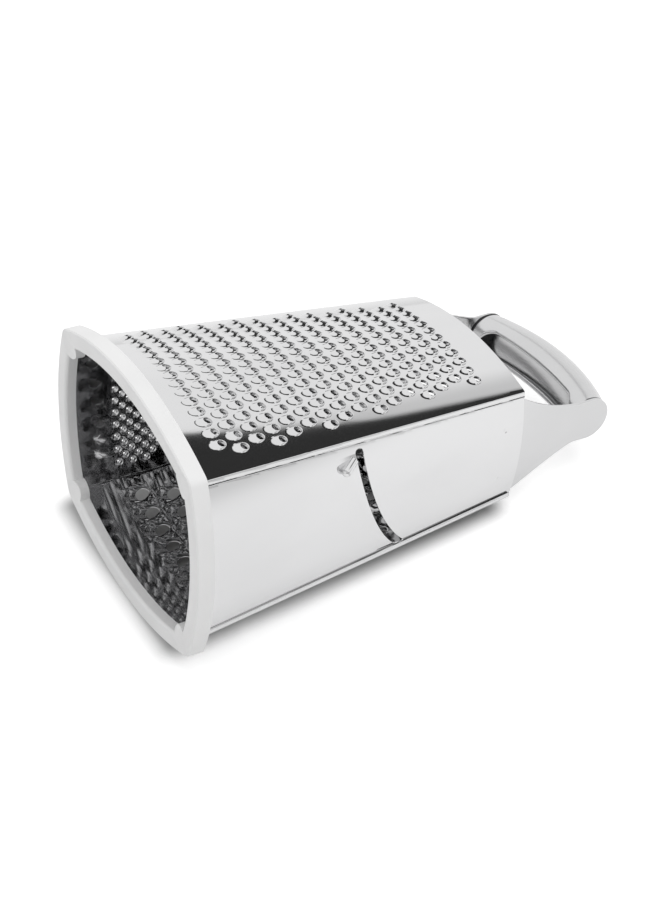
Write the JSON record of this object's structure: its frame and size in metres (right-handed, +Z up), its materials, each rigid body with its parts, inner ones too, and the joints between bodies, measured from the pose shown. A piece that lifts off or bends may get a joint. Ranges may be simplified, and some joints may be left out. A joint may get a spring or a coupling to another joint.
{
  "type": "box grater",
  "caption": "Tapered four-sided steel box grater with bowed grating and slicing faces, an arched tubular handle on two ears and a plastic ring round its open mouth.",
  "frame": {"origin": "middle of the resting plane of the base ring, with the grater standing on its mouth", "axes": "+Z up to the handle, -Y towards the medium grating side, +X towards the slicing side"},
  "size_m": [0.1404, 0.115, 0.231],
  "materials": {
    "polished_steel": "bright polished stainless steel",
    "satin_steel": "satin stainless steel",
    "white_plastic": "semi-gloss white plastic",
    "black_plastic": "matt black plastic"
  },
  "bodies": {
    "root": {"front_panel": "polished_steel", "back_panel": "polished_steel", "left_panel": "polished_steel", "right_panel": "polished_steel", "base_ring": "white_plastic", "left_ear": "satin_steel", "right_ear": "satin_steel", "grip_shell": "satin_steel", "grip_liner": "satin_steel", "left_grip_plug": "black_plastic", "right_grip_plug": "black_plastic", "left_grip_pin": "satin_steel", "right_grip_pin": "satin_steel"}
  },
  "joints": []
}
